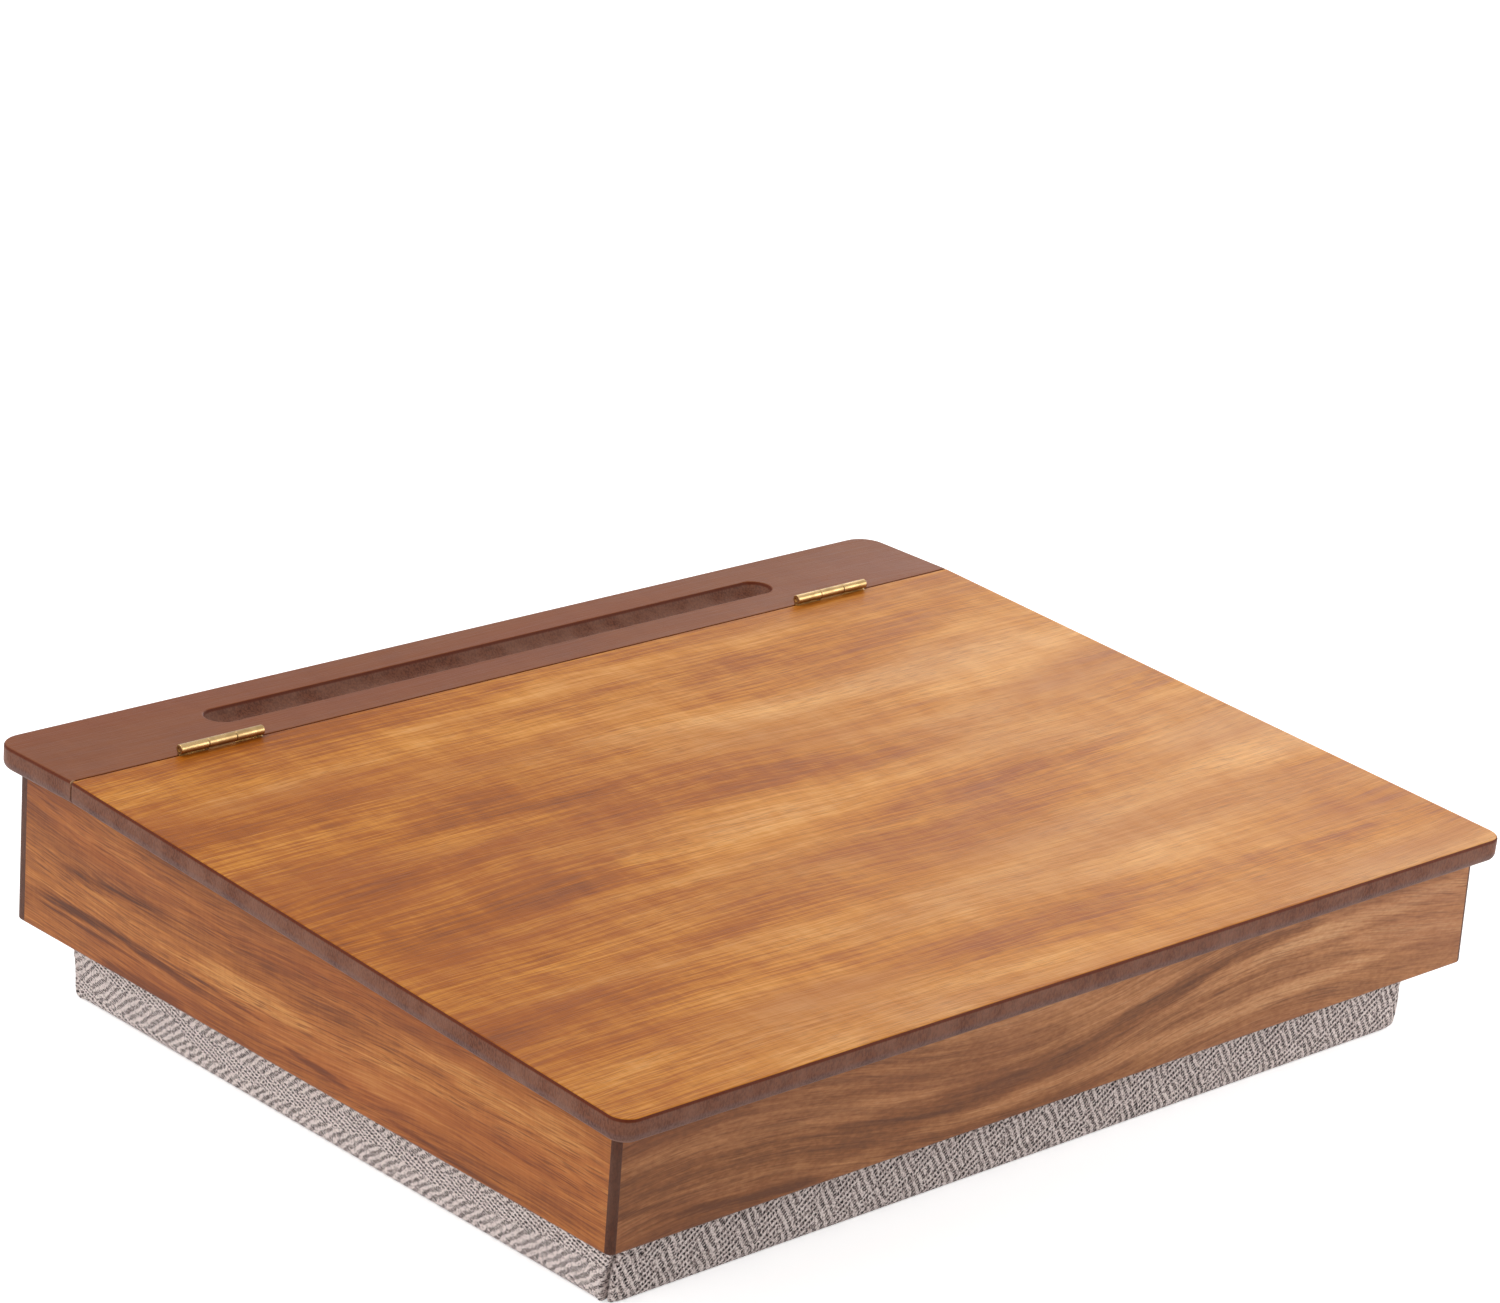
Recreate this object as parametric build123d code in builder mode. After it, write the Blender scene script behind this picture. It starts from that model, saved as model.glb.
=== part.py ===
import os
from math import cos, isclose, radians, sin

from build123d import *

# Lap desk with a lift lid, in millimetres. X runs left to right, Y front to back, Z up.
# The origin is under the middle of the cushion, on the surface that the desk rests on.

# Top boards
top_width = 420.0
top_depth = 333.0  # rear strip and lid together, in plan
strip_depth = 46.5
board_thickness = 9.0
lid_slope = 3.0  # degrees, falling towards the front
strip_corner_radius = 10.0
lid_corner_radius = 7.0
top_edge_radius = 1.0
under_edge_radius = 3.0
seam_gap = 0.6
seam_edge_radius = 0.3

# Box
side_overhang = 5.7
end_overhang = 8.3
wall_thickness = 9.0
back_wall_height = 56.5
wall_corner_radius = 2.6
wall_foot_radius = 1.2
back_lip = 5.0  # what the rebate leaves of the back panel behind each side panel
panel_recess = 7.0  # bottom panel above the foot of the walls
panel_thickness = 3.0
panel_slot_depth = 4.5
panel_slot_play = 0.2

# Pen groove, a round-bottomed channel with round ends
groove_length = 270.0
groove_width = 14.0
groove_depth = 5.0
groove_rim_radius = 0.8

# Butt hinges
hinge_offset = 146.5  # middle of each hinge from the middle of the desk
hinge_length = 36.0
axis_height = 2.1  # pin axis above the top of the strip
barrel_radius = 1.8
knuckle_edge_radius = 0.25
pin_radius = 0.85
pin_play = 0.05
pin_recess = 0.3
knuckle_gap = 0.15
leaf_thickness = 0.9
leaf_depth = 7.4
leaf_play = 0.1  # between the two closed leaves
curl_gap = 0.12  # where the rolled end of a knuckle comes back to its leaf
mortise_play = 0.1

# Fasteners
hinge_screw_pitch = 20.0
hinge_screw_drop = 4.2  # screw axis below the top of the strip
hinge_screw_radius = 1.0
hinge_screw_length = 9.0
hinge_screw_head_radius = 1.75
hinge_screw_slot = 0.5
cushion_screw_radius = 1.5
cushion_screw_head_radius = 3.4
cushion_screw_head_height = 1.7
cushion_screw_spacing = (150.0, 200.0)
cushion_screw_rows = (3, 2)
cushion_screw_point_gap = 0.5
dowel_radius = 2.5
dowel_in_wall = 10.0
dowel_in_strip = 5.5
dowel_spacing = 100.0
dowels_in_back = 4
dowel_play = 0.2
brad_radius = 0.7
brad_length = 18.0
brad_depth = 0.8  # head below the surface, under filler
back_brad_rises = (4.0, 22.0, 42.0)  # above the foot of the walls
front_brad_rises = (4.0, 18.0, 32.0)
staple_crown = 10.0
staple_wire = 0.5
staple_width = 1.0
staple_leg = 4.0
staple_pitch = 46.0
staples_across = 8
staples_deep = 6
staple_inset = 10.0  # from the edge of the cushion board

# Cushion
cushion_height = 28.0  # from the rest surface to the foot of the walls
cushion_inset = 12.0  # in from the walls all round
cushion_corner_radius = 9.0
cushion_foot_radius = 6.0
cushion_lean = 4.0  # degrees, sides drawing in towards the foot
cover_thickness = 1.0
hem_width = 20.0
cushion_board_thickness = 5.0

# Levels and places that follow from them
wall_foot = cushion_height
wall_top = wall_foot + back_wall_height
strip_top = wall_top + board_thickness
panel_under = wall_foot + panel_recess
panel_top = panel_under + panel_thickness
half_width = top_width / 2
half_depth = top_depth / 2
seam = half_depth - strip_depth
strip_front = seam + seam_gap / 2
lid_rear = seam - seam_gap / 2
box_half_width = half_width - side_overhang
box_half_depth = half_depth - end_overhang
inner_half_width = box_half_width - wall_thickness
inner_half_depth = box_half_depth - wall_thickness
groove_line = half_depth - strip_depth / 2
axis_level = strip_top + axis_height
knuckle_length = hinge_length / 3
cushion_top = panel_under - staple_wire
board_top = cushion_top - cover_thickness
board_under = board_top - cushion_board_thickness
cushion_half_width = box_half_width - cushion_inset
cushion_half_depth = box_half_depth - cushion_inset

lid_normal = Vector(0, -sin(radians(lid_slope)), cos(radians(lid_slope)))
lid_top_plane = Plane(origin=(0, seam, strip_top), x_dir=(1, 0, 0), z_dir=lid_normal)
lid_under_plane = lid_top_plane.offset(-board_thickness)
hinge_centres = {"left": -hinge_offset, "right": hinge_offset}
hinge_screw_level = strip_top - hinge_screw_drop


def save(builder, name):
    """Label a finished piece and write it as one STEP file."""
    builder.part.label = name
    export_step(builder.part, f"parts/{name}.step")


# Cutters and fasteners that more than one piece shares

def hinge_screws(side, direction):
    """The two countersunk screws of one leaf, driven into the strip (+1) or the lid (-1)."""
    taper_depth = hinge_screw_head_radius - hinge_screw_radius
    with BuildPart() as screws:
        for step in (-1, 1):
            across = hinge_centres[side] + step * hinge_screw_pitch / 2
            start = (across, seam + direction * leaf_play / 2, hinge_screw_level)
            section = Plane(origin=start, x_dir=(1, 0, 0), z_dir=(0, 0, direction))
            with BuildSketch(section):
                with BuildLine():
                    Polyline(
                        (0, 0),
                        (hinge_screw_head_radius, 0),
                        (hinge_screw_radius, taper_depth),
                        (hinge_screw_radius, hinge_screw_length - hinge_screw_radius),
                        (0, hinge_screw_length),
                        close=True,
                    )
                make_face()
            revolve(axis=Axis(start, (0, direction, 0)))
    return screws.part


def hinge_cuts(direction):
    """Mortises for both leaves and the holes of their screws, in the strip (+1) or lid (-1)."""
    mortise_depth = leaf_play / 2 + leaf_thickness
    mortise_height = leaf_depth + mortise_play
    with BuildPart() as cuts:
        with BuildSketch(Plane.XY.offset(strip_top - mortise_height)):
            for centre in hinge_centres.values():
                with Locations((centre, seam + direction * mortise_depth / 2)):
                    Rectangle(hinge_length + 2 * mortise_play, mortise_depth)
        extrude(amount=mortise_height + board_thickness)
        for side in hinge_centres:
            add(hinge_screws(side, direction))
    return cuts.part


def strip_dowels(play=0.0):
    """The dowels that locate the strip: four in the back panel and one in each side panel."""
    back_line = box_half_depth - wall_thickness / 2
    side_line = box_half_width - wall_thickness / 2
    with BuildPart() as dowels:
        with BuildSketch(Plane.XY.offset(wall_top - dowel_in_wall - play)):
            with Locations((0, back_line)):
                with GridLocations(dowel_spacing, 0, dowels_in_back, 1):
                    Circle(dowel_radius)
            with Locations((-side_line, groove_line), (side_line, groove_line)):
                Circle(dowel_radius)
        extrude(amount=dowel_in_wall + dowel_in_strip + 2 * play)
    return dowels


def corner_brads():
    """Three brads at each corner: through the back panel, and across the front mitres."""
    side_line = box_half_width - wall_thickness / 2
    front_line = -box_half_depth + wall_thickness / 2
    back_start = (0, box_half_depth - brad_depth, wall_foot)
    with BuildPart() as brads:
        with BuildSketch(Plane(origin=back_start, x_dir=(1, 0, 0), z_dir=(0, -1, 0))):
            for rise in back_brad_rises:
                with Locations((-side_line, rise), (side_line, rise)):
                    Circle(brad_radius)
        extrude(amount=brad_length)
        for direction in (-1, 1):
            side_start = (direction * (box_half_width - brad_depth), front_line, wall_foot)
            with BuildSketch(Plane(origin=side_start, x_dir=(0, 0, 1), z_dir=(-direction, 0, 0))):
                with Locations(*[(rise, 0) for rise in front_brad_rises]):
                    Circle(brad_radius)
            extrude(amount=brad_length)
    return brads


def cushion_staples():
    """The staples round the hem, each a flat crown with two legs down into the board."""
    line_x = cushion_half_width - cover_thickness - staple_inset
    line_y = cushion_half_depth - cover_thickness - staple_inset
    leg_reach = (staple_crown - staple_wire) / 2
    sides = [
        (0, direction * line_y, 0, staples_across) for direction in (-1, 1)
    ] + [
        (direction * line_x, 0, 90, staples_deep) for direction in (-1, 1)
    ]
    with BuildPart() as staples:
        with BuildSketch(Plane.XY.offset(cushion_top)):
            for x, y, turn, count in sides:
                with Locations(Location((x, y, 0), (0, 0, turn))):
                    with GridLocations(staple_pitch, 0, count, 1):
                        Rectangle(staple_crown, staple_width)
        extrude(amount=staple_wire)
        with BuildSketch(Plane.XY.offset(cushion_top)):
            for x, y, turn, count in sides:
                with Locations(Location((x, y, 0), (0, 0, turn))):
                    with GridLocations(staple_pitch, 0, count, 1):
                        with Locations((-leg_reach, 0), (leg_reach, 0)):
                            Rectangle(staple_wire, staple_width)
        extrude(amount=-staple_leg)
    return staples


def cushion_screws():
    """The screws through the bottom panel into the cushion board, with pan heads above."""
    with BuildPart() as screws:
        with BuildSketch(Plane.XY.offset(panel_top)):
            with GridLocations(*cushion_screw_spacing, *cushion_screw_rows):
                Circle(cushion_screw_head_radius)
        extrude(amount=cushion_screw_head_height)
        rims = screws.edges().group_by(Axis.Z)[-1]
        fillet(rims, cushion_screw_head_height / 2)
        with BuildSketch(Plane.XY.offset(panel_top)):
            with GridLocations(*cushion_screw_spacing, *cushion_screw_rows):
                Circle(cushion_screw_radius)
        extrude(amount=-(panel_top - board_under - cushion_screw_point_gap))
    return screws


def bottom_panel_blank(play=0.0):
    """The bottom panel's outline and thickness, also the slot for it round the walls."""
    width = 2 * (inner_half_width + panel_slot_depth - play)
    depth = 2 * (inner_half_depth + panel_slot_depth - play)
    with BuildPart() as blank:
        with BuildSketch(Plane.XY.offset(panel_under)):
            Rectangle(width, depth)
        extrude(amount=panel_thickness)
    return blank


def box_envelope():
    """The outer form of the four walls together, with its rounded corners and foot."""
    with BuildPart() as envelope:
        with BuildSketch(Plane.XY.offset(wall_foot)):
            Rectangle(2 * box_half_width, 2 * box_half_depth)
        extrude(amount=back_wall_height)
        fillet(envelope.edges().filter_by(Axis.Z), wall_corner_radius)
        fillet(envelope.faces().sort_by(Axis.Z)[0].edges(), wall_foot_radius)
    return envelope


def cushion_form(inset, top):
    """The cushion's outer form, or the same form a little inside it, up to one level."""
    width = 2 * (cushion_half_width - inset)
    depth = 2 * (cushion_half_depth - inset)
    radius = cushion_corner_radius - inset
    with BuildPart() as form:
        with BuildSketch(Plane.XY.offset(wall_foot)):
            RectangleRounded(width, depth, radius)
        extrude(amount=-(wall_foot - inset), taper=cushion_lean)
        fillet(form.faces().sort_by(Axis.Z)[0].edges(), cushion_foot_radius - inset)
        with BuildSketch(Plane.XY.offset(wall_foot)):
            RectangleRounded(width, depth, radius)
        extrude(amount=top - wall_foot)
    return form


def cut_wall():
    """What every wall has in common, inside the builder of that wall."""
    split(bisect_by=lid_under_plane, keep=Keep.BOTTOM)
    add(envelope.part, mode=Mode.INTERSECT)
    add(panel_slot.part, mode=Mode.SUBTRACT)
    add(dowel_holes.part, mode=Mode.SUBTRACT)
    add(brads.part, mode=Mode.SUBTRACT)


envelope = box_envelope()
panel_slot = bottom_panel_blank()
dowel_holes = strip_dowels(dowel_play)
brads = corner_brads()
floor_screws = cushion_screws()
staples = cushion_staples()


# Walls

def side_panel(direction):
    """One side of the box: mitred at the front, square in the back panel's rebate."""
    outer = direction * box_half_width
    inner = direction * inner_half_width
    with BuildPart() as panel:
        with BuildSketch(Plane.XY.offset(wall_foot)):
            with BuildLine():
                Polyline(
                    (outer, -box_half_depth),
                    (inner, -inner_half_depth),
                    (inner, box_half_depth - back_lip),
                    (outer, box_half_depth - back_lip),
                    close=True,
                )
            make_face()
        extrude(amount=back_wall_height)
        cut_wall()
    return panel


def front_panel():
    """The front of the box, mitred at both ends, its top following the lid."""
    with BuildPart() as panel:
        with BuildSketch(Plane.XY.offset(wall_foot)):
            with BuildLine():
                Polyline(
                    (-box_half_width, -box_half_depth),
                    (box_half_width, -box_half_depth),
                    (inner_half_width, -inner_half_depth),
                    (-inner_half_width, -inner_half_depth),
                    close=True,
                )
            make_face()
        extrude(amount=back_wall_height)
        cut_wall()
    return panel


def back_panel():
    """The back of the box, rebated at both ends so that a lip covers the side panels."""
    rebate_depth = wall_thickness - back_lip
    rebate_x = (box_half_width + inner_half_width) / 2
    rebate_y = inner_half_depth + rebate_depth / 2
    with BuildPart() as panel:
        with BuildSketch(Plane.XY.offset(wall_foot)):
            with Locations((0, box_half_depth - wall_thickness / 2)):
                Rectangle(2 * box_half_width, wall_thickness)
            with Locations((-rebate_x, rebate_y), (rebate_x, rebate_y)):
                Rectangle(wall_thickness, rebate_depth, mode=Mode.SUBTRACT)
        extrude(amount=back_wall_height)
        cut_wall()
    return panel


def bottom_panel():
    """The compartment's floor, let into the slot round the walls."""
    with BuildPart() as panel:
        add(bottom_panel_blank(panel_slot_play).part)
        add(floor_screws.part, mode=Mode.SUBTRACT)
    return panel


# Top boards

def lid_board():
    """The sloping lid: square at the seam, rounded at its two front corners."""
    length = (half_depth + seam) / cos(radians(lid_slope))
    across = Axis((0, 0, 0), lid_normal)
    with BuildPart() as lid:
        with BuildSketch(lid_top_plane) as outline:
            with Locations((0, -length / 2)):
                Rectangle(top_width, length)
            fillet(outline.vertices().group_by(Axis.Y)[0], lid_corner_radius)
        extrude(amount=-board_thickness)
        upper = lid.faces().sort_by(across)[-1].edges().sort_by(Axis.Y)[:-1]
        fillet(upper, top_edge_radius)
        lower = lid.faces().sort_by(across)[0].edges().sort_by(Axis.Y)[:-1]
        fillet(lower, under_edge_radius)
        split(bisect_by=Plane.XZ.offset(-lid_rear), keep=Keep.TOP)
        fillet(lid.edges().filter_by(Axis.X).sort_by(Axis.Z)[-1], seam_edge_radius)
        add(hinge_cuts(-1), mode=Mode.SUBTRACT)
    return lid


def rear_strip():
    """The fixed strip behind the lid, with the pen groove in its top."""
    channel_radius = (groove_width**2 / 4 + groove_depth**2) / (2 * groove_depth)
    channel_level = strip_top - groove_depth + channel_radius
    channel_end = (groove_length - groove_width) / 2
    with BuildPart() as strip:
        with BuildSketch(Plane.XY.offset(strip_top)) as outline:
            with Locations((0, (strip_front + half_depth) / 2)):
                Rectangle(top_width, half_depth - strip_front)
            fillet(outline.vertices().group_by(Axis.Y)[-1], strip_corner_radius)
        extrude(amount=-board_thickness)
        upper = strip.faces().sort_by(Axis.Z)[-1].edges().sort_by(Axis.Y)[1:]
        fillet(upper, top_edge_radius)
        lower = strip.faces().sort_by(Axis.Z)[0].edges().sort_by(Axis.Y)[1:]
        fillet(lower, under_edge_radius)
        front_edges = strip.edges().filter_by(Axis.X).group_by(Axis.Y)[0]
        fillet(front_edges.sort_by(Axis.Z)[-1], seam_edge_radius)
        with Locations((0, groove_line, channel_level)):
            Cylinder(channel_radius, 2 * channel_end, rotation=(0, 90, 0), mode=Mode.SUBTRACT)
        with Locations(
            (-channel_end, groove_line, channel_level), (channel_end, groove_line, channel_level)
        ):
            Sphere(channel_radius, mode=Mode.SUBTRACT)
        rim = strip.faces().sort_by(Axis.Z)[-1].inner_wires()[0]
        fillet(rim.edges(), groove_rim_radius)
        add(hinge_cuts(1), mode=Mode.SUBTRACT)
        add(dowel_holes.part, mode=Mode.SUBTRACT)
    return strip


# Hinges

def hinge_leaf(side, direction):
    """One leaf with its knuckles: the strip's (+1) has the outer two, the lid's (-1) the middle."""
    centre = hinge_centres[side]
    plate_line = seam + direction * (leaf_play + leaf_thickness) / 2
    reach = hinge_length / 2
    middle = knuckle_length / 2
    if direction > 0:
        spans = [(-reach, -middle - knuckle_gap / 2), (middle + knuckle_gap / 2, reach)]
        bore = pin_radius
    else:
        spans = [(-middle + knuckle_gap / 2, middle - knuckle_gap / 2)]
        bore = pin_radius + pin_play
    tab_height = axis_height - (bore + barrel_radius) / 2
    with BuildPart() as leaf:
        with BuildSketch(Plane.XY.offset(strip_top - leaf_depth)):
            with Locations((centre, plate_line)):
                Rectangle(hinge_length, leaf_thickness)
        extrude(amount=leaf_depth)
        for start, end in spans:
            with BuildSketch(Plane.XY.offset(strip_top)):
                with Locations((centre + (start + end) / 2, plate_line)):
                    Rectangle(end - start, leaf_thickness)
            extrude(amount=tab_height)
            knuckle_start = (centre + start, seam, axis_level)
            with BuildSketch(Plane(origin=knuckle_start, x_dir=(0, 1, 0), z_dir=(1, 0, 0))):
                Circle(barrel_radius)
                with Locations((direction * (leaf_play - curl_gap) / 2, -barrel_radius / 2)):
                    Rectangle(curl_gap, barrel_radius, mode=Mode.SUBTRACT)
            extrude(amount=end - start)
            with BuildSketch(Plane(origin=knuckle_start, x_dir=(0, 1, 0), z_dir=(1, 0, 0))):
                Circle(bore)
            extrude(amount=end - start, mode=Mode.SUBTRACT)
        round_edges = leaf.edges().filter_by(GeomType.CIRCLE)
        ends = round_edges.filter_by(lambda edge: isclose(edge.radius, barrel_radius))
        fillet(ends, knuckle_edge_radius)
        add(hinge_screws(side, direction), mode=Mode.SUBTRACT)
    return leaf


def hinge_pin(side):
    """The pin through the three knuckles, its ends a little inside the barrel."""
    start = (hinge_centres[side] - hinge_length / 2 + pin_recess, seam, axis_level)
    with BuildPart() as pin:
        with BuildSketch(Plane(origin=start, x_dir=(0, 1, 0), z_dir=(1, 0, 0))):
            Circle(pin_radius)
        extrude(amount=hinge_length - 2 * pin_recess)
    return pin


def slotted_screws(side, direction):
    """The screws of one leaf, with the driver slot across each head."""
    face = Plane(
        origin=(hinge_centres[side], seam + direction * leaf_play / 2, hinge_screw_level),
        x_dir=(1, 0, 0),
        z_dir=(0, direction, 0),
    )
    with BuildPart() as screws:
        add(hinge_screws(side, direction))
        with BuildSketch(face):
            with GridLocations(hinge_screw_pitch, 0, 2, 1):
                Rectangle(2 * hinge_screw_head_radius, hinge_screw_slot)
        extrude(amount=hinge_screw_slot, mode=Mode.SUBTRACT)
    return screws


# Cushion

def cushion_board():
    """The board in the top of the cushion, which the cover is stapled to."""
    width = 2 * (cushion_half_width - cover_thickness)
    depth = 2 * (cushion_half_depth - cover_thickness)
    with BuildPart() as board:
        with BuildSketch(Plane.XY.offset(board_under)):
            RectangleRounded(width, depth, cushion_corner_radius - cover_thickness)
        extrude(amount=cushion_board_thickness)
        add(floor_screws.part, mode=Mode.SUBTRACT)
        add(staples.part, mode=Mode.SUBTRACT)
    return board


def cushion_cover():
    """The fabric round the foam and the board, folded over the board as a stapled hem."""
    inset = cover_thickness + hem_width
    with BuildPart() as cover:
        add(cushion_form(0, cushion_top).part)
        add(cushion_form(cover_thickness, board_top).part, mode=Mode.SUBTRACT)
        with BuildSketch(Plane.XY.offset(board_top)):
            Rectangle(2 * (cushion_half_width - inset), 2 * (cushion_half_depth - inset))
        extrude(amount=cover_thickness, mode=Mode.SUBTRACT)
        add(staples.part, mode=Mode.SUBTRACT)
    return cover


os.makedirs("parts", exist_ok=True)

save(side_panel(-1), "left_side_panel")
save(side_panel(1), "right_side_panel")
save(front_panel(), "front_panel")
save(back_panel(), "back_panel")
save(bottom_panel(), "bottom_panel")
save(brads, "corner_brads")
save(strip_dowels(), "strip_dowels")
save(rear_strip(), "rear_strip")
save(lid_board(), "lid_board")
for side in hinge_centres:
    save(hinge_leaf(side, 1), f"{side}_hinge_fixed_leaf")
    save(hinge_leaf(side, -1), f"{side}_hinge_lid_leaf")
    save(hinge_pin(side), f"{side}_hinge_pin")
    save(slotted_screws(side, 1), f"{side}_hinge_fixed_screws")
    save(slotted_screws(side, -1), f"{side}_hinge_lid_screws")
save(cushion_form(cover_thickness, board_under), "cushion_foam")
save(cushion_board(), "cushion_board")
save(cushion_cover(), "cushion_cover")
save(staples, "cushion_staples")
save(floor_screws, "cushion_screws")
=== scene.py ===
import math

import bpy
import numpy as np
from mathutils import Matrix, Vector


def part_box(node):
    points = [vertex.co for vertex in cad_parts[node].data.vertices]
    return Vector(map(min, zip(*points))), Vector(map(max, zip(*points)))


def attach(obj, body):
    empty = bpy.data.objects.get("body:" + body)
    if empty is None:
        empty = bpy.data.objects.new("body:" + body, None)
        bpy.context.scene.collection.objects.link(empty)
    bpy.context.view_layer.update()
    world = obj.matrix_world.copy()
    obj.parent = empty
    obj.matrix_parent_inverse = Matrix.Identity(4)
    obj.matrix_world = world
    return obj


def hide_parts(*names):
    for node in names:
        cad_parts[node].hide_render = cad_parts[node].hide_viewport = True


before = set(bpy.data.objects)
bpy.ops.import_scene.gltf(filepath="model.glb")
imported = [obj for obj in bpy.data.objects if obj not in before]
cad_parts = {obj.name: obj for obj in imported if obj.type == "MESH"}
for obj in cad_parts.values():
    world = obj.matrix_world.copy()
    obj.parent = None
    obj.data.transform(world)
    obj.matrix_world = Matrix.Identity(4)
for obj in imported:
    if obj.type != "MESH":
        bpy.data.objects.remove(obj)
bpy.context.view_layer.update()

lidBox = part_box("lid_board")
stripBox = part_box("rear_strip")
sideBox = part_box("left_side_panel")
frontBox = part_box("front_panel")
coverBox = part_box("cushion_cover")
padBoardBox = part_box("cushion_board")

stripTop = stripBox[1].z
boardThickness = stripTop - stripBox[0].z
wallFoot = frontBox[0].z
seam = (stripBox[0].y + lidBox[1].y) / 2
lidSlope = math.radians(3)
lidNormal = (0, -math.sin(lidSlope), math.cos(lidSlope))
print("frame loaded:", len(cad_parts), "pieces")


def colour(red, green, blue):
    # screen values 0-255 to linear: c / 12.92 below 0.04, else ((c + 0.055) / 1.055) ^ 2.4
    screen = np.array([red, green, blue]) / 255
    linear = np.where(screen <= 0.04045, screen / 12.92, ((screen + 0.055) / 1.055) ** 2.4)
    return (*linear.tolist(), 1.0)


class Nodes:
    # a short call for each kind of node that is used here

    def __init__(self, tree):
        self.tree = tree
        tree.nodes.clear()

    def add(self, kind, inputs=(), **settings):
        node = self.tree.nodes.new(kind)
        for name, value in settings.items():
            setattr(node, name, value)
        return self.fill(node, inputs)

    def fill(self, node, inputs):
        for key, value in dict(inputs).items():
            if isinstance(value, bpy.types.NodeSocket):
                self.tree.links.new(value, node.inputs[key])
            else:
                node.inputs[key].default_value = value
        return node

    def calc(self, operation, *values):
        return self.add("ShaderNodeMath", enumerate(values), operation=operation).outputs[0]

    def vector(self, operation, *values):
        node = self.add("ShaderNodeVectorMath", enumerate(values), operation=operation)
        return node.outputs["Value" if operation == "DOT_PRODUCT" else "Vector"]

    def split(self, vector):
        return self.add("ShaderNodeSeparateXYZ", {0: vector}).outputs

    def join(self, x, y, z):
        return self.add("ShaderNodeCombineXYZ", {0: x, 1: y, 2: z}).outputs[0]

    def noise(self, point, scale, detail=2.0, low=0.35, high=0.65, shift=0.0):
        # noise whose cells are 1/scale metres on each axis, stretched to run from 0 at low to 1 at high
        spot = self.vector("MULTIPLY_ADD", point, scale, (shift, shift, shift))
        grain = self.add("ShaderNodeTexNoise", {"Vector": spot, "Scale": 1.0, "Detail": detail})
        return self.between(grain.outputs[0], low, high)

    def between(self, value, low, high):
        # 0 at low, 1 at high, straight between
        return self.add("ShaderNodeMapRange", {0: value, 1: low, 2: high}).outputs[0]

    def step(self, value, low, high):
        # 0 at low, 1 at high, smooth between
        kind = {"interpolation_type": "SMOOTHSTEP"}
        return self.add("ShaderNodeMapRange", {0: value, 1: low, 2: high}, **kind).outputs[0]

    def mix(self, share, first, second):
        node = self.add("ShaderNodeMix", data_type="RGBA")
        return self.fill(node, {0: share, 6: first, 7: second}).outputs[2]

    def blend(self, share, first, second):
        return self.add("ShaderNodeMix", {0: share, 2: first, 3: second}).outputs[0]

    def ramp(self, value, stops):
        node = self.add("ShaderNodeValToRGB", {0: value})
        for index, (position, tint) in enumerate(stops):
            if index < 2:
                element = node.color_ramp.elements[index]
                element.position = position
            else:
                element = node.color_ramp.elements.new(position)
            element.color = colour(*tint)
        return node.outputs[0]

    def bump(self, height, distance):
        return self.add("ShaderNodeBump", {"Height": height, "Distance": distance}).outputs[0]

    def seen(self):
        # 1 for what the camera, a reflection or glass looks at, 0 for the light that it gives
        path = self.add("ShaderNodeLightPath").outputs
        direct = self.calc("MAXIMUM", path["Is Camera Ray"], path["Is Glossy Ray"])
        return self.calc("MAXIMUM", direct, path["Is Transmission Ray"])


class Finish(Nodes):
    # one material with its shader, laid out on Object coordinates

    def __init__(self, name):
        self.material = bpy.data.materials.new(name)
        self.material.use_nodes = True
        super().__init__(self.material.node_tree)
        self.surface = self.add("ShaderNodeBsdfPrincipled")
        self.add("ShaderNodeOutputMaterial", {0: self.surface.outputs[0]})
        self.place = self.add("ShaderNodeTexCoord").outputs["Object"]

    def dress(self, *nodes):
        for name in nodes:
            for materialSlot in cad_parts[name].material_slots:
                materialSlot.link = "OBJECT"
                materialSlot.material = self.material


# camera, floor and light

view = {
    "target": (0.0, 0.0, 0.050),
    "azimuth": -44.07,
    "elevation": 19.96,
    "roll": 4.25,
    "distance": 1.79632,
    "sideways": -0.00736,
    "upwards": 0.08169,
    "lens": 121.78,
}
lamps = [
    {"name": "key", "at": (-1.0, 0.9, 1.9), "size": 1.5, "power": 23},
    {"name": "left", "at": (-1.9, -0.2, 0.7), "size": 1.4, "power": 10},
    {"name": "right", "at": (0.75, -0.75, 0.45), "size": 0.6, "power": 4.5},
    {"name": "sheen", "at": (1.6, 0.85, 0.8), "size": 1.0, "power": 6},
]
room = {"ambient": 0.45, "floorLift": 0.55, "floorSize": 30.0, "floorColour": 0.93}


def makeCamera():
    azimuth, elevation, roll = (math.radians(view[key]) for key in ("azimuth", "elevation", "roll"))
    level = math.cos(elevation)
    back = Vector((math.sin(azimuth) * level, -math.cos(azimuth) * level, math.sin(elevation)))
    right = Vector((0, 0, 1)).cross(back).normalized()
    up = back.cross(right)
    place = Vector(view["target"]) + back * view["distance"]
    place += right * view["sideways"] + up * view["upwards"]
    across = right * math.cos(roll) + up * math.sin(roll)
    upwards = up * math.cos(roll) - right * math.sin(roll)
    turn = Matrix((across, upwards, back)).transposed().to_4x4()
    camera = bpy.data.objects.new("camera", bpy.data.cameras.new("camera"))
    camera.data.lens = view["lens"]
    camera.data.clip_end = 50
    camera.matrix_world = Matrix.Translation(place) @ turn
    bpy.context.scene.collection.objects.link(camera)
    bpy.context.scene.camera = camera


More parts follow.
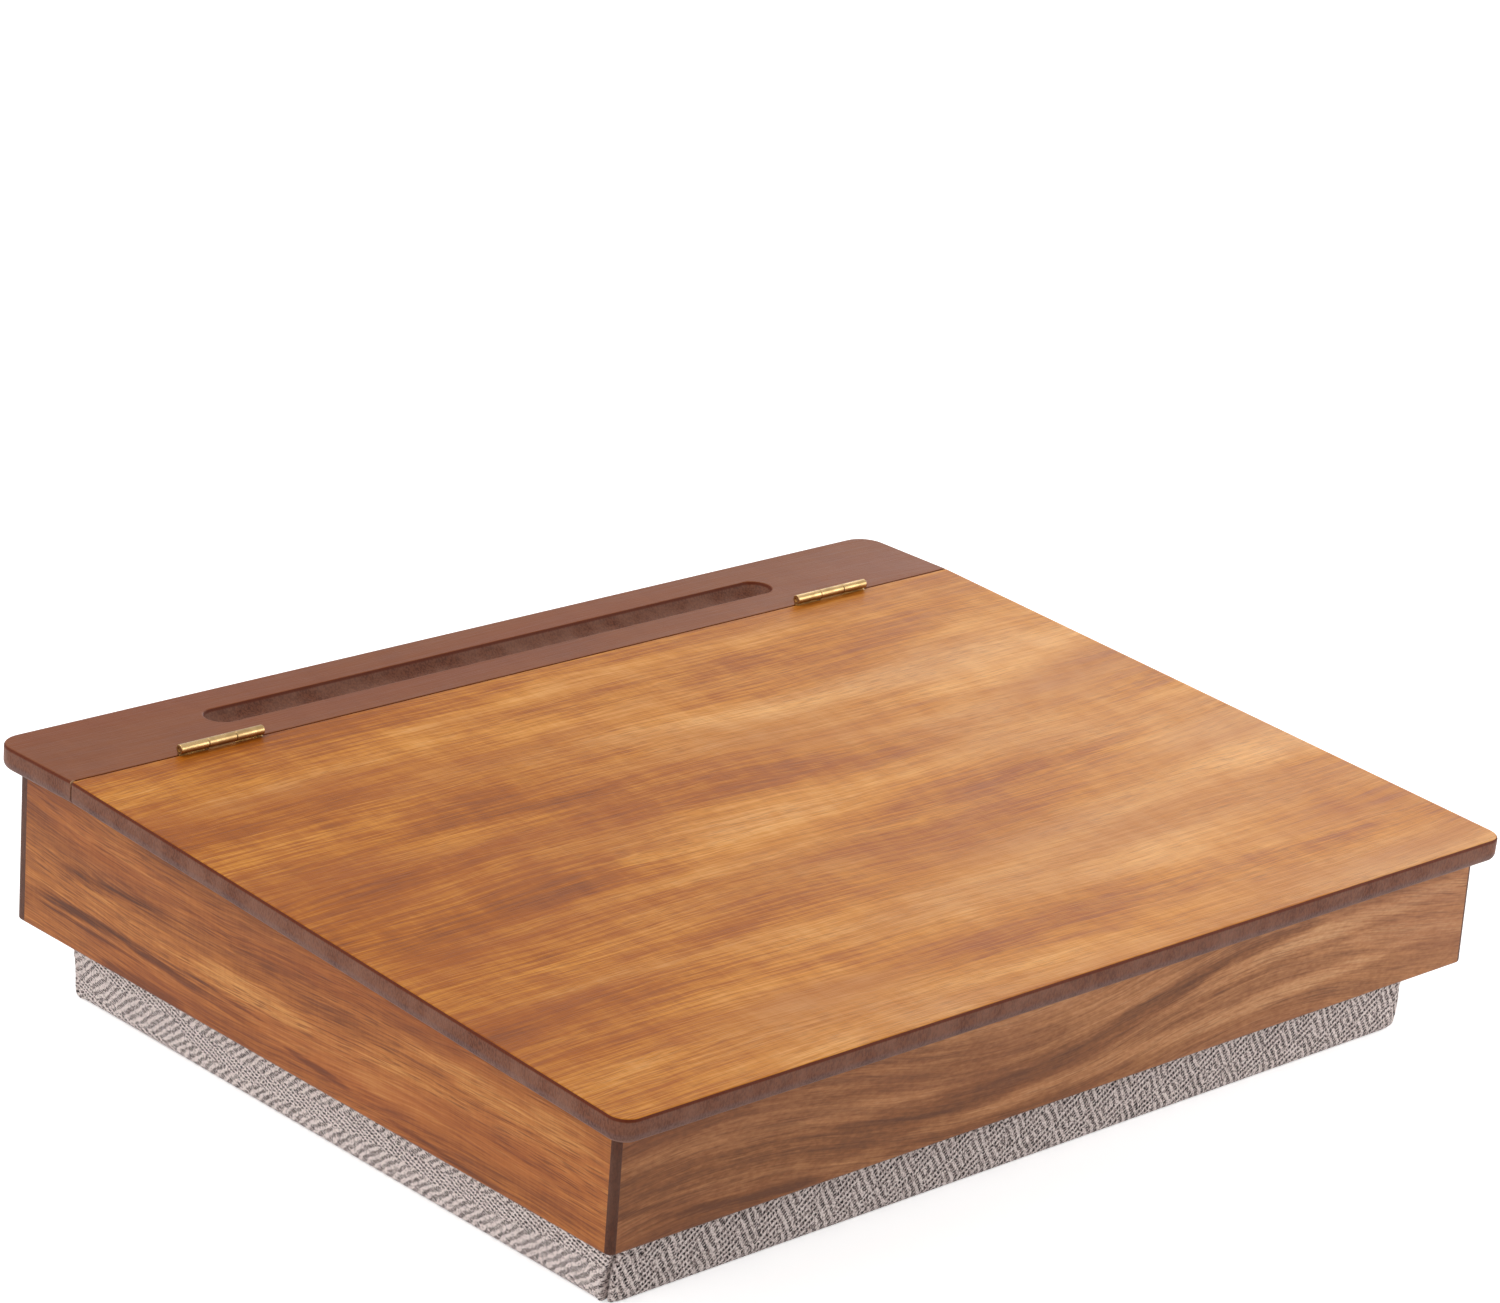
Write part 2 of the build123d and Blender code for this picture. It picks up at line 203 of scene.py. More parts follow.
def makeLamp(lamp):
    data = bpy.data.lights.new(lamp["name"], "AREA")
    data.energy = lamp["power"]
    data.size = lamp["size"]
    lampObject = bpy.data.objects.new(lamp["name"], data)
    aim = Vector(view["target"]) - Vector(lamp["at"])
    turn = aim.to_track_quat("-Z", "Y").to_matrix().to_4x4()
    lampObject.matrix_world = Matrix.Translation(lamp["at"]) @ turn
    bpy.context.scene.collection.objects.link(lampObject)


def makeWorld():
    world = bpy.data.worlds.new("studio")
    world.use_nodes = True
    bpy.context.scene.world = world
    nodes = Nodes(world.node_tree)
    strength = nodes.blend(nodes.seen(), room["ambient"], 1.0)
    background = nodes.add("ShaderNodeBackground", {0: (1, 1, 1, 1), 1: strength})
    nodes.add("ShaderNodeOutputWorld", {0: background.outputs[0]})


def makeFloor():
    half = room["floorSize"] / 2
    mesh = bpy.data.meshes.new("floor")
    corners = [(-half, -half, 0), (half, -half, 0), (half, half, 0), (-half, half, 0)]
    mesh.from_pydata(corners, [], [(0, 1, 2, 3)])
    floor = bpy.data.objects.new("floor", mesh)
    bpy.context.scene.collection.objects.link(floor)
    finish = Finish("floor")
    finish.fill(finish.surface, {
        "Base Color": (room["floorColour"],) * 3 + (1,),
        "Roughness": 0.9,
        "Specular IOR Level": 0.0,
        "Emission Color": (1, 1, 1, 1),
        "Emission Strength": finish.calc("MULTIPLY", finish.seen(), room["floorLift"]),
    })
    mesh.materials.append(finish.material)


makeCamera()
makeWorld()
makeFloor()
for lamp in lamps:
    makeLamp(lamp)
bpy.context.scene.view_settings.view_transform = "Standard"
print("camera, floor and lamps made")


# veneered boards, with stain on every routed edge

stain = {
    "upper": (114, 68, 49), "lower": (107, 76, 69), "speck": (54, 30, 23), "pale": (146, 106, 88),
    # the first colour on the next line is a painted highlight along the foot of the rounded edge
    "paintedFootHighlight": (140, 106, 92), "rim": (88, 30, 0), "corner": (62, 34, 22),
    "veneerDepth": 0.0001,      # how far down the edge the face veneer reaches
    "rimDepth": 0.0011,         # and the dark line under it
    "turn": 0.0056,             # where the edge starts to round under
    "foot": 0.0079,             # where a highlight is painted along the rounding
    "roughness": 0.50,
}
# bare board at the ends of the seam between lid and strip; its pale colour also stands for a painted glint
# of light there
bareEndGlint = {
    "colour": (186, 146, 112),
    "gapFace": (0.0006, 0.0004),    # how near to the seam a face is bare
    "depth": (0.0070, 0.0030),      # fading out below the face
    "reach": (0.2075, 0.2090),      # and inwards from the ends
}

lidLook = {
    "grain": "x",
    "stops": [(0.0, (124, 62, 12)), (0.30, (167, 92, 14)), (0.56, (204, 133, 48)), (1.0, (238, 180, 114))],
    "red": (154, 80, 26), "redShare": 0.50,
    # the drift on the next line is painted light: the lid is made brighter towards the right
    "bend": 0.010, "sweep": 0.0, "sweepLength": 0.3, "sweepStart": 0.0, "toneAndLightDrift": 0.65,
    "zones": (7, 26), "zoneShare": 0.36,
    "bands": 62, "bandShare": 0.20,
    "streaks": (22, 620), "streakShare": 0.20,
    "fibreShare": 0.18, "curlShare": 0.10, "flecks": (640, 120), "fleckShare": 0.05,
    "hairs": (120, 2200), "hairShare": 0.34, "hairColour": (112, 58, 22),
    "clouds": [
        {"at": (0.040, -0.160), "reach": (0.140, 0.018), "slope": 0.0, "bow": 0.0, "dark": -0.11},
        {"at": (-0.200, 0.045), "reach": (0.050, 0.034), "slope": 0.1, "bow": 0.0, "dark": -0.10},
        {"at": (-0.200, -0.020), "reach": (0.050, 0.050), "slope": 0.1, "bow": 0.0, "dark": 0.12},
    ],
    "veins": [],
    "shift": 3.1,
    "roughness": 0.38,
}

stripLook = dict(
    lidLook,
    stops=[(0.0, (102, 52, 24)), (0.35, (122, 66, 34)), (0.65, (131, 74, 39)), (1.0, (144, 84, 48))],
    red=(128, 64, 36), redShare=0.4, toneAndLightDrift=0.0,
    zoneShare=0.20, bandShare=0.14, streakShare=0.10, fibreShare=0.08, curlShare=0.16, hairShare=0.12,
    clouds=[], shift=11.7,
)

sideLook = dict(
    lidLook,
    grain="y",
    stops=[(0.0, (90, 47, 23)), (0.30, (134, 75, 34)), (0.62, (175, 107, 52)), (1.0, (207, 146, 81))],
    red=(154, 78, 37), redShare=0.50,
    bend=0.008, sweep=0.0025, sweepLength=0.34, sweepStart=0.05, toneAndLightDrift=-0.35,
    zones=(9, 46), zoneShare=0.30,
    bands=110, bandShare=0.18, streaks=(24, 760), streakShare=0.20, fibreShare=0.30, curlShare=0.04,
    hairs=(90, 1900), hairShare=0.58, hairColour=(88, 46, 25),
    clouds=[
        {"at": (0.024, 0.0490), "reach": (0.034, 0.0060), "slope": 0.02, "bow": 0.0, "dark": -0.19},
        {"at": (-0.105, 0.0600), "reach": (0.055, 0.0050), "slope": 0.04, "bow": 0.0, "dark": -0.24},
        {"at": (-0.057, 0.0400), "reach": (0.030, 0.0036), "slope": 0.05, "bow": 0.0, "dark": -0.16},
        {"at": (0.100, 0.0585), "reach": (0.040, 0.0042), "slope": -0.06, "bow": 0.0, "dark": 0.20},
        {"at": (-0.112, 0.0465), "reach": (0.048, 0.0034), "slope": 0.02, "bow": 0.0, "dark": 0.22},
        {"at": (0.084, 0.0300), "reach": (0.028, 0.0036), "slope": 0.0, "bow": 0.0, "dark": 0.42},
        {"at": (0.010, 0.0580), "reach": (0.060, 0.0080), "slope": 0.04, "bow": 0.0, "dark": 0.14},
    ],
    veins=[
        {"at": (0.108, 0.0430), "reach": (0.046, 0.0026), "slope": 0.030, "bow": 0.0, "dark": 0.62},
        {"at": (0.112, 0.0392), "reach": (0.038, 0.0009), "slope": 0.034, "bow": 0.0, "dark": 0.40},
        {"at": (0.046, 0.0398), "reach": (0.034, 0.0020), "slope": 0.060, "bow": 0.0, "dark": 0.50},
        {"at": (0.040, 0.0432), "reach": (0.026, 0.0008), "slope": 0.066, "bow": 0.0, "dark": 0.34},
        {"at": (-0.012, 0.0362), "reach": (0.020, 0.0017), "slope": 0.060, "bow": 0.0, "dark": 0.50},
        {"at": (-0.076, 0.0312), "reach": (0.032, 0.0013), "slope": 0.060, "bow": 0.0, "dark": 0.36},
        {"at": (0.100, 0.0590), "reach": (0.030, 0.0016), "slope": -0.060, "bow": 0.0, "dark": 0.26},
    ],
    shift=23.9,
    roughness=0.40,
)

frontLook = dict(
    sideLook,
    grain="x",
    stops=[(0.0, (92, 54, 31)), (0.30, (134, 83, 48)), (0.62, (177, 121, 78)), (1.0, (212, 162, 116))],
    red=(150, 92, 62), redShare=0.40,
    # the drift on the next line is painted light: the front is made brighter towards the right
    bend=0.006, sweep=0.0085, sweepLength=0.27, sweepStart=-0.03, toneAndLightDrift=0.9,
    zones=(5, 40), zoneShare=0.26,
    bands=85, bandShare=0.26, streaks=(14, 420), streakShare=0.14, fibreShare=0.16, curlShare=0.05,
    flecks=(380, 900), fleckShare=0.13,
    hairs=(70, 1700), hairShare=0.38, hairColour=(84, 48, 28),
    clouds=[
        {"at": (-0.019, 0.0420), "reach": (0.100, 0.0040), "slope": 0.070, "bow": 1.35, "dark": 0.34},
        {"at": (0.070, 0.0600), "reach": (0.060, 0.0034), "slope": 0.12, "bow": -1.0, "dark": 0.26},
        {"at": (-0.110, 0.0560), "reach": (0.060, 0.0040), "slope": -0.02, "bow": 0.0, "dark": 0.12},
        {"at": (0.060, 0.0390), "reach": (0.130, 0.0042), "slope": 0.045, "bow": 0.0, "dark": -0.26},
        {"at": (0.150, 0.0600), "reach": (0.060, 0.0044), "slope": 0.03, "bow": 0.0, "dark": -0.20},
        {"at": (-0.060, 0.0345), "reach": (0.060, 0.0030), "slope": 0.02, "bow": 0.0, "dark": -0.14},
        {"at": (-0.175, 0.0560), "reach": (0.045, 0.0050), "slope": -0.03, "bow": 0.0, "dark": -0.12},
        {"at": (-0.030, 0.0450), "reach": (0.036, 0.0240), "slope": 0.0, "bow": 0.0, "dark": 0.09},
    ],
    veins=[
        {"at": (-0.150, 0.0335), "reach": (0.040, 0.0026), "slope": -0.080, "bow": 0.0, "dark": 0.30},
        {"at": (-0.190, 0.0405), "reach": (0.020, 0.0020), "slope": -0.060, "bow": 0.0, "dark": 0.26},
        {"at": (-0.060, 0.0450), "reach": (0.045, 0.0022), "slope": -0.060, "bow": 1.0, "dark": 0.26},
        {"at": (0.110, 0.0530), "reach": (0.060, 0.0018), "slope": 0.060, "bow": -0.6, "dark": 0.20},
    ],
    shift=41.3,
)

rightLook = dict(sideLook, shift=57.7, toneAndLightDrift=0.0, clouds=[], veins=[])
backLook = dict(frontLook, shift=66.1, sweepStart=0.08, toneAndLightDrift=0.0, clouds=[], veins=[])
floorLook = dict(
    lidLook,
    stops=[(0.0, (124, 82, 50)), (0.4, (152, 106, 68)), (0.7, (176, 130, 88)), (1.0, (198, 154, 110))],
    redShare=0.15, hairShare=0.25, toneAndLightDrift=0.0, clouds=[], shift=73.3, roughness=0.55,
)
plyLook = dict(
    floorLook,
    stops=[(0.0, (170, 132, 88)), (0.5, (196, 158, 112)), (0.8, (212, 178, 134)), (1.0, (226, 196, 156))],
    shift=81.1, roughness=0.65,
)
beechLook = dict(plyLook, shift=88.0)


def grainPlace(finish, grain):
    # the point as (along the grain, across it, 0)
    x, y, z = finish.split(finish.place)
    along, across = {"x": (x, z), "y": (y, z), "flat": (x, y)}[grain]
    return finish.join(along, across, 0.0)


def patches(finish, place, spots):
    # a spot with a = (along - its middle) / its reach and b likewise across, from its own bent middle line,
    # is 1 - (a^4 + b^2) with soft edges; returns the sum of dark * spot
    along, across = finish.split(place)[:2]
    total = 0.0
    for spot in spots:
        (middleAlong, middleAcross), (reachAlong, reachAcross) = spot["at"], spot["reach"]
        a = finish.calc("MULTIPLY_ADD", along, 1 / reachAlong, -middleAlong / reachAlong)
        rise = finish.calc("MULTIPLY_ADD", a, spot["bow"] * reachAlong ** 2, spot["slope"] * reachAlong)
        line = finish.calc("MULTIPLY_ADD", a, rise, middleAcross)
        b = finish.calc("DIVIDE", finish.calc("SUBTRACT", across, line), reachAcross)
        away = finish.calc("MULTIPLY_ADD", b, b, finish.calc("POWER", finish.calc("ABSOLUTE", a), 4.0))
        total = finish.calc("MULTIPLY_ADD", finish.step(away, 1.0, 0.0), spot["dark"], total)
    return total


def veneer(finish, look, grain):
    # tone = 1/2 + sum of share * (layer - 1/2), the layers being broad zones, bands, streaks, fibres,
    # bars across the grain and small flecks; clouds and torn veins darken it, and fine dark hairs lie on top
    place, shift = grainPlace(finish, grain), look["shift"]
    along, across = finish.split(place)[:2]
    slow = finish.noise(place, (3.5, 9, 0), detail=1.5, shift=shift)
    ripple = finish.noise(place, (24, 90, 0), detail=2, shift=shift + 5)
    lean = finish.calc("MULTIPLY_ADD", ripple, 0.0007, across)
    bentCurl = finish.join(finish.calc("MULTIPLY_ADD", slow, 0.020, along), across, 0.0)
    phase = 2 * math.pi / look["sweepLength"]
    wave = finish.calc("COSINE", finish.calc("MULTIPLY_ADD", along, phase, -phase * look["sweepStart"]))
    swept = finish.calc("MULTIPLY_ADD", wave, look["sweep"], lean)
    flow = finish.join(along, finish.calc("MULTIPLY_ADD", slow, look["bend"], swept), 0.0)
    zones = finish.noise(flow, (*look["zones"], 0), detail=2, shift=shift + 8)
    bands = finish.noise(flow, (2.2, look["bands"], 0), detail=2, shift=shift)
    streaks = finish.noise(flow, (*look["streaks"], 0), detail=2, low=0.38, high=0.62, shift=shift + 1)
    fibres = finish.noise(flow, (60, 1500, 0), detail=2, low=0.3, high=0.7, shift=shift + 2)
    flecks = finish.noise(place, (*look["flecks"], 0), detail=2, shift=shift + 3)
    curl = finish.noise(bentCurl, (95, 34, 0), detail=3, shift=shift + 4)
    layers = [
        (zones, look["zoneShare"]), (bands, look["bandShare"]), (streaks, look["streakShare"]),
        (fibres, look["fibreShare"]), (flecks, look["fleckShare"]), (curl, look["curlShare"]),
    ]
    # drift: a tone that rises along the grain; on the lid and the front this is painted light, brighter
    # towards the right
    tone = finish.calc("MULTIPLY_ADD", along, look["toneAndLightDrift"], 0.5)
    for layer, share in layers:
        tone = finish.calc("MULTIPLY_ADD", finish.calc("SUBTRACT", layer, 0.5), share, tone)
    bent = finish.join(along, lean, 0.0)
    if look["clouds"]:
        tone = finish.calc("SUBTRACT", tone, patches(finish, bent, look["clouds"]))
    gather = finish.noise(flow, (9, 60, 0), detail=2, low=0.25, high=0.6, shift=shift + 9)
    if look["veins"]:
        torn = finish.noise(place, (30, 620, 0), detail=3, low=0.36, high=0.56, shift=shift + 10)
        torn = finish.calc("MULTIPLY_ADD", torn, 0.6, 0.4)
        torn = finish.calc("MULTIPLY", patches(finish, bent, look["veins"]), torn)
        tone = finish.calc("SUBTRACT", tone, torn)
    tint = finish.ramp(tone, look["stops"])
    warm = finish.noise(flow, (6, 30, 0), detail=2, low=0.4, high=0.68, shift=shift + 6)
    tint = finish.mix(finish.calc("MULTIPLY", warm, look["redShare"]), tint, colour(*look["red"]))
    hairs = finish.noise(flow, (*look["hairs"], 0), detail=1.5, low=0.50, high=0.64, shift=shift + 7)
    drawn = finish.calc("MULTIPLY", finish.calc("MULTIPLY", hairs, gather), look["hairShare"])
    tint = finish.mix(drawn, tint, colour(*look["hairColour"]))
    rough = finish.calc("MULTIPLY_ADD", streaks, 0.07, look["roughness"])
    height = finish.calc("MULTIPLY_ADD", hairs, -0.6, fibres)
    return tint, rough, height


def edgeStain(finish, depth):
    # brown down to the turn of the edge, greyer under it and a painted highlight along its foot, specks all
    # over, and a dark rim line just below the veneer
    specks = finish.noise(finish.place, (1500, 1500, 800), detail=3, low=0.42, high=0.60)
    clouds = finish.noise(finish.place, (90, 90, 70), detail=3)
    under = finish.step(depth, stain["turn"] - 0.0008, stain["turn"] + 0.0006)
    tint = finish.mix(under, colour(*stain["upper"]), colour(*stain["lower"]))
    tint = finish.mix(finish.calc("MULTIPLY", specks, 0.55), tint, colour(*stain["speck"]))
    tint = finish.mix(finish.calc("MULTIPLY", clouds, 0.40), tint, colour(*stain["pale"]))
    # painted highlight: a pale line along the foot of the rounding, where it catches the light
    light = finish.step(depth, stain["foot"] - 0.0005, stain["foot"])
    tint = finish.mix(finish.calc("MULTIPLY", light, 0.5), tint, colour(*stain["paintedFootHighlight"]))
    rim = finish.step(depth, stain["rimDepth"] + 0.0003, stain["rimDepth"] - 0.0004)
    return finish.mix(finish.calc("MULTIPLY", rim, 0.9), tint, colour(*stain["rim"])), specks


def varnish(finish, tint, rough, height, stained, specks, gloss=0.18):
    finish.fill(finish.surface, {
        "Base Color": tint,
        "Roughness": finish.blend(stained, rough, stain["roughness"]),
        "Specular IOR Level": gloss,
        "Normal": finish.bump(finish.blend(stained, height, specks), 0.00004),
    })


def makeTopBoard(name, look, faceNormal, seamSide):
    # depth below the face = (point on the face - point) . normal: veneer, rim line, stain,
    # veneer again underneath, and bare board at the two ends of the seam, whose pale colour also stands for
    # a painted glint of light there
    finish = Finish(name)
    tint, rough, height = veneer(finish, look, "flat")
    fromFace = finish.vector("SUBTRACT", (0, seam, stripTop), finish.place)
    depth = finish.vector("DOT_PRODUCT", fromFace, faceNormal)
    onEdge = finish.step(depth, stain["veneerDepth"], stain["veneerDepth"] + 0.0001)
    above = finish.step(depth, boardThickness - 0.00015, boardThickness - 0.0003)
    stained = finish.calc("MULTIPLY", onEdge, above)
    edge, specks = edgeStain(finish, depth)
    tint = finish.mix(stained, tint, edge)
    x, y = finish.split(finish.place)[:2]
    fromSeam = finish.calc("MULTIPLY", finish.calc("SUBTRACT", y, seam), seamSide)
    reach = finish.calc("ABSOLUTE", x)
    # painted glint: the pale bare-board patch at the seam ends, broken up by noise
    patchBreakup = finish.noise(finish.place, (400, 400, 400), detail=2, low=0.42, high=0.62)
    bareAndGlint = finish.step(fromSeam, *bareEndGlint["gapFace"])
    bareAndGlint = finish.calc("MULTIPLY", bareAndGlint, finish.step(depth, *bareEndGlint["depth"]))
    bareAndGlint = finish.calc("MULTIPLY", bareAndGlint, finish.step(reach, *bareEndGlint["reach"]))
    tint = finish.mix(finish.calc("MULTIPLY", bareAndGlint, patchBreakup), tint, colour(*bareEndGlint["colour"]))
    varnish(finish, tint, rough, height, stained, specks, gloss=0.12)
    return finish


wallEdge = {"corner": 0.0026, "soft": 0.0001, "foot": 0.0004, "top": 0.0003, "darkShare": 0.65}


def makeWall(name, look, end):
    # stain where the upright corners are rounded, along the foot and on the top edge under the lid
    finish = Finish(name)
    tint, rough, height = veneer(finish, look, look["grain"])
    x, y, z = finish.split(finish.place)
    reach = finish.calc("ABSOLUTE", x)
    roundX, roundY = -sideBox[0].x - wallEdge["corner"], frontBox[0].y + wallEdge["corner"]
    rounded = finish.step(reach, roundX, roundX + wallEdge["soft"])
    if end == "front":
        rounded = finish.calc("MULTIPLY", rounded, finish.step(y, roundY, roundY - wallEdge["soft"]))
    footLine = wallFoot + wallEdge["foot"]
    foot = finish.step(z, footLine + 2 * wallEdge["soft"], footLine)
    fromFace = finish.vector("SUBTRACT", (0, seam, stripTop), finish.place)
    slopeDepth = finish.vector("DOT_PRODUCT", fromFace, lidNormal)
    flatDepth = finish.calc("SUBTRACT", stripTop, z)
    depth = finish.calc("MINIMUM", slopeDepth, flatDepth)
    topLine = boardThickness + wallEdge["top"]
    top = finish.step(depth, topLine + wallEdge["soft"], topLine)
    stained = finish.calc("MAXIMUM", finish.calc("MAXIMUM", rounded, foot), top)
    edge, specks = edgeStain(finish, stain["rimDepth"] + 0.001)
    edge = finish.mix(wallEdge["darkShare"], edge, colour(*stain["corner"]))
    tint = finish.mix(stained, tint, edge)
    varnish(finish, tint, rough, height, stained, specks)
    return finish


def makePlainBoard(name, look):
    finish = Finish(name)
    tint, rough, height = veneer(finish, look, "flat")
    finish.fill(finish.surface, {
        "Base Color": tint, "Roughness": rough, "Specular IOR Level": 0.2,
        "Normal": finish.bump(height, 0.00004),
    })
    return finish


makeTopBoard("lid_veneer", lidLook, lidNormal, -1).dress("lid_board")
makeTopBoard("strip_veneer", stripLook, (0, 0, 1), 1).dress("rear_strip")
makeWall("left_veneer", sideLook, "front").dress("left_side_panel")
makeWall("right_veneer", rightLook, "front").dress("right_side_panel")
makeWall("front_veneer", frontLook, "front").dress("front_panel")
makeWall("back_veneer", backLook, "back").dress("back_panel")
makePlainBoard("floor_board", floorLook).dress("bottom_panel")
makePlainBoard("pad_board", plyLook).dress("cushion_board")
makePlainBoard("beech", beechLook).dress("strip_dowels")
print("boards finished")


# brass hinges and steel fasteners

brass = {"bright": (192, 160, 112), "dull": (140, 112, 72), "roughness": 0.27}
steel = {"bright": (206, 206, 204), "dull": (158, 158, 156), "roughness": 0.34}


def makeMetal(name, look):
    # drawing marks run along x; tarnish comes in small clouds
    finish = Finish(name)
    marks = finish.noise(finish.place, (120, 2600, 2600), detail=2)
    tarnish = finish.noise(finish.place, (170, 260, 260), detail=3, low=0.4, high=0.7)
    share = finish.calc("MULTIPLY", tarnish, 0.7)
    finish.fill(finish.surface, {
        "Base Color": finish.mix(share, colour(*look["bright"]), colour(*look["dull"])),
        "Metallic": 1.0,
        "Roughness": finish.calc("MULTIPLY_ADD", tarnish, 0.12, look["roughness"]),
        "Normal": finish.bump(marks, 0.000002),
    })
    return finish


hingeNodes = sorted(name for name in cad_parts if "hinge" in name)
makeMetal("brass", brass).dress(*hingeNodes)
makeMetal("steel", steel).dress("cushion_screws", "corner_brads", "cushion_staples")
print("metal finished")


# lap cushion, one padded piece with its cloth cover

cushion = {
    "cornerRadius": 0.009,
    "footRadius": 0.004,
    "lean": math.radians(4.0),
    "cloth": 0.001,
    "hem": 0.020,
    "step": 0.0055,         # between grid lines along a side
    "cornerSteps": 10,      # in half a corner
    "footSteps": 5,
    "sideSteps": 5,
    "tuckDepth": 0.0036,
    "tuckWidth": 0.0011,
    "tuckSlant": 0.0057,
    "tuckMiddle": 0.45,     # height at which it crosses the middle of the corner, as a share
    "tuckSway": 0.0005,
    "tuckWaves": 420,       # radians to a metre
    "foldHeight": 0.0009,
    "foldWidth": 0.0065,
    "rollHeight": 0.0008,
    "rollPlace": 0.0024,
    "rollWidth": 0.0013,
    "puckerHeight": 0.00025,
    "puckerReach": 0.007,
    "puckerWaves": (2200, 300),     # radians to a metre of d and of z
}
pressing = {
    "frames": 20,
    "pressure": 4.0,
    "quality": 6,
    "mass": 0.25,
    "stretch": 25,
    "bend": 1.5,
    "swell": 0.0024,        # how far the cloth may move outwards
}


def cushionRing():
    # the rounded rectangle from corner middle to corner middle, side by side:
    # point = core * (half size - radius) + radius * normal
    radius = cushion["cornerRadius"]
    halfSize = (coverBox[1].x, coverBox[1].y)
    parts = {"core": [], "normal": [], "side": [], "start": [], "end": []}
    for side in range(4):
        reach = halfSize[side % 2] - radius
        count = round(2 * reach / cushion["step"])
        half = cushion["cornerSteps"]
        bend = np.linspace(-math.pi / 4, 0, half, endpoint=False)
        angle = np.concatenate([bend, np.zeros(count + 1), -bend[::-1]])
        slide = np.concatenate([-np.ones(half), np.linspace(-1, 1, count + 1), np.ones(half)])
        along = slide * reach + radius * angle
        turn = side * math.pi / 2
        spin = np.array([[math.cos(turn), math.sin(turn)], [-math.sin(turn), math.cos(turn)]])
        heading = angle - math.pi / 2 + turn
        parts["core"].append((np.stack([slide, -np.ones_like(slide)], 1) @ spin)[:-1])
        parts["normal"].append(np.stack([np.cos(heading), np.sin(heading)], 1)[:-1])
        parts["side"].append(np.full(len(slide) - 1, side))
        parts["start"].append(along[:-1])
        parts["end"].append(along[1:])
    counts = [len(part) for part in parts["side"]]
    return {key: np.concatenate(value) for key, value in parts.items()}, counts


def cushionProfile():
    # rows of (inset, z, corner radius): round the foot, up the leaning side, over the hem,
    # back under it and down round the pad board to the top of the foam
    lean, foot, radius = cushion["lean"], cushion["footRadius"], cushion["cornerRadius"]
    centre = (wallFoot - foot) * math.tan(lean) + foot / math.cos(lean)
    bend = np.linspace(-math.pi / 2, -lean, cushion["footSteps"] + 1)
    rows = [(centre - foot * math.cos(a), foot + foot * math.sin(a)) for a in bend]
    for z in np.linspace(rows[-1][1], wallFoot, cushion["sideSteps"] + 1)[1:]:
        rows.append(((wallFoot - z) * math.tan(lean), z))
    held = len(rows) - 1
    top, cloth = coverBox[1].z, cushion["cloth"]
    hemEnd = cloth + cushion["hem"]
    rows += [(0.0, wallFoot + 0.003), (0.0, top - 0.0006), (0.0002, top - 0.0002), (0.0006, top)]
    rows += [(inset, top) for inset in np.linspace(0.004, hemEnd, 5)]
    rows += [(hemEnd, top - cloth), (0.011, top - cloth), (cloth, top - cloth), (cloth, padBoardBox[0].z)]
    return np.array([(inset, z, max(radius - inset, 0.0005)) for inset, z in rows]), held


def coonsGrid(ring, counts, z):
    # S(u, v) = (1-v) B(u) + v T(u) + (1-u) L(v) + u R(v) - the bilinear blend of the four corners
    across, deep = counts[0], counts[1]
    bottom = ring[:across + 1]
    right = ring[across:across + deep + 1]
    top = ring[across + deep:2 * across + deep + 1][::-1]
    left = np.concatenate([ring[2 * across + deep:], ring[:1]])[::-1]
    u = ((bottom[:, 0] - bottom[0, 0]) / (bottom[-1, 0] - bottom[0, 0]))[None, :, None]
    v = ((left[:, 1] - left[0, 1]) / (left[-1, 1] - left[0, 1]))[:, None, None]
    low = (1 - u) * bottom[0] + u * bottom[-1]
    high = (1 - u) * top[0] + u * top[-1]
    surface = (1 - v) * (bottom[None] - low) + v * (top[None] - high)
    surface = surface + (1 - u) * left[:, None] + u * right[:, None]
    return np.concatenate([surface, np.full((*surface.shape[:2], 1), z)], 2)


def gridIndex(counts, ringStart, innerStart):
    # vertex numbers of a grid whose border is a ring that is already there
    across, deep = counts[0], counts[1]
    total = 2 * (across + deep)
    ring = ringStart + np.arange(total + 1) % total
    index = np.zeros((deep + 1, across + 1), int)
    index[0] = ring[:across + 1]
    index[:, -1] = ring[across:across + deep + 1]
    index[-1] = ring[across + deep:2 * across + deep + 1][::-1]
    index[:, 0] = ring[2 * across + deep:][::-1]
    index[1:-1, 1:-1] = innerStart + np.arange((deep - 1) * (across - 1)).reshape(deep - 1, across - 1)
    return index


def quads(index):
    return np.stack([index[:-1, :-1], index[:-1, 1:], index[1:, 1:], index[1:, :-1]], -1).reshape(-1, 4)


cloth = {
    "repeat": 0.01737,      # from one crisp column to the next
    "frontStart": (-0.1759, 0.017),     # middle of a crisp column on the front, and at what height
    "frontLean": 0.28,      # of the columns there
    "frontJog": ([-0.192, -0.090, -0.072, 0.060, 0.105, 0.134, 0.165, 0.192],
                 [0.0030, 0.0030, -0.0090, -0.0095, -0.0105, -0.0025, -0.0085, -0.0085]),
    "sideStart": 0.002,     # height of a column on a side, before the line that it follows
    "sideLine": ([-0.130, -0.126, -0.080, -0.076, -0.044, 0.000, 0.025, 0.045, 0.060, 0.090, 0.110, 0.146],
                 [0.0060, 0.0006, 0.0006, -0.0053, -0.0073, -0.0053, -0.0033, -0.0038, -0.0048, -0.0033,
                  -0.0008, 0.0]),
    "endRibs": ((312, 173), (280, -358)),   # soft and crisp columns: ribs to a metre along and up
    "endFan": -120,                         # and how the crisp ribs turn from left to right
    "sideRibs": ((220, -281), (214, 588)),
}


